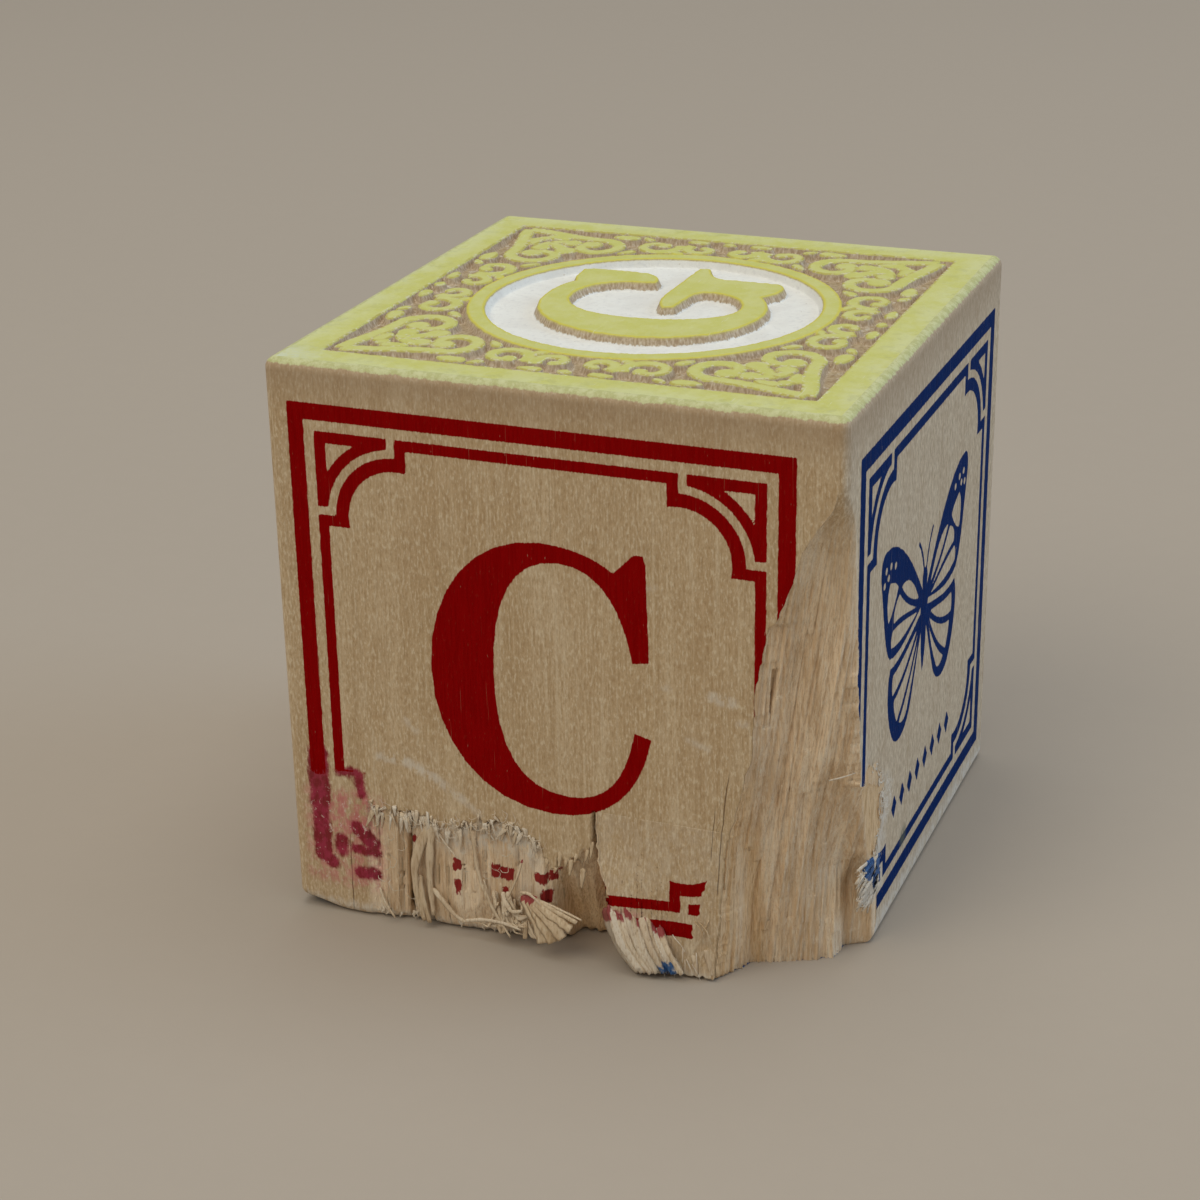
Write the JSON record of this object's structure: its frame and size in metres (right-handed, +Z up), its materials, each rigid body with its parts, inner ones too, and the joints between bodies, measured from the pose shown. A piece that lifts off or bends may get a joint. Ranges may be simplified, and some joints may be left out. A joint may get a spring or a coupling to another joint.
{
  "type": "alphabet block",
  "caption": "Worn wooden alphabet block: debossed and painted ends, printed letter, butterfly, number and leaf on the sides, one lower edge chewed and one upright edge broken.",
  "frame": {"origin": "centre of the face the block rests on", "axes": "+Z up along the grain of the wood; the printed letter faces -Y and the butterfly faces +X"},
  "size_m": [0.0446, 0.0466, 0.0453],
  "materials": {
    "basswood": "raw, sanded",
    "torn_basswood": "raw, torn fibres",
    "red_ink": "matte",
    "blue_ink": "matte",
    "yellow_paint": "matte, thin",
    "blue_paint": "matte, thin",
    "white_paint": "matte"
  },
  "bodies": {
    "root": {"wood_block": "basswood", "front_flap": "torn_basswood", "front_splinters": "torn_basswood", "side_flap": "torn_basswood", "top_frame_paint": "yellow_paint", "bottom_frame_paint": "blue_paint", "top_scroll_paint": "yellow_paint", "bottom_scroll_paint": "blue_paint", "top_ring_paint": "yellow_paint", "bottom_ring_paint": "blue_paint", "top_letter_paint": "yellow_paint", "bottom_letter_paint": "blue_paint", "top_disc_paint": "white_paint", "bottom_disc_paint": "white_paint", "front_outer_border": "red_ink", "right_outer_border": "blue_ink", "back_outer_border": "blue_ink", "left_outer_border": "red_ink", "front_inner_border": "red_ink", "right_inner_border": "blue_ink", "back_inner_border": "blue_ink", "left_inner_border": "red_ink", "front_corners": "red_ink", "right_corners": "blue_ink", "back_corners": "blue_ink", "left_corners": "red_ink", "front_letter": "red_ink", "right_butterfly": "blue_ink", "right_lozenges": "blue_ink", "back_number": "blue_ink", "left_leaf": "red_ink"}
  },
  "joints": []
}
